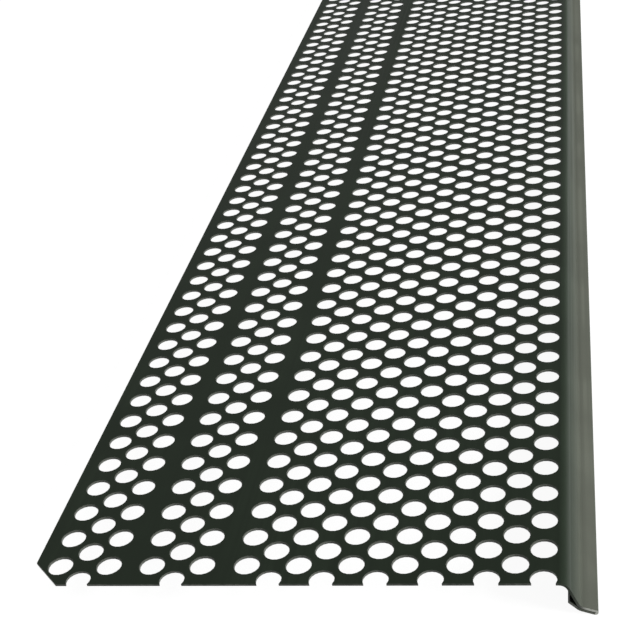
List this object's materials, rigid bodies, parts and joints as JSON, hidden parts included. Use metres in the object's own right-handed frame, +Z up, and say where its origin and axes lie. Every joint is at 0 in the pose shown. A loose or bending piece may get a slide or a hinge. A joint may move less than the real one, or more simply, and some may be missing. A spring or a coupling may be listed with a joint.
{
  "type": "gutter guard",
  "caption": "Long flat strip of dark perforated sheet with a hemmed front lip, laid over a roof gutter to keep leaves out while water drains through.",
  "frame": {"origin": "bottom centre of the strip's box, under the middle of the panel at the height of the hem's lowest line", "axes": "+X across the strip from the roof edge to the front lip, +Y along the strip from the clipped corner, +Z up, square to the panel"},
  "size_m": [0.1358, 0.9144, 0.0094],
  "materials": {
    "painted_sheet": "satin"
  },
  "bodies": {
    "root": {"guard_strip": "painted_sheet"}
  },
  "joints": []
}
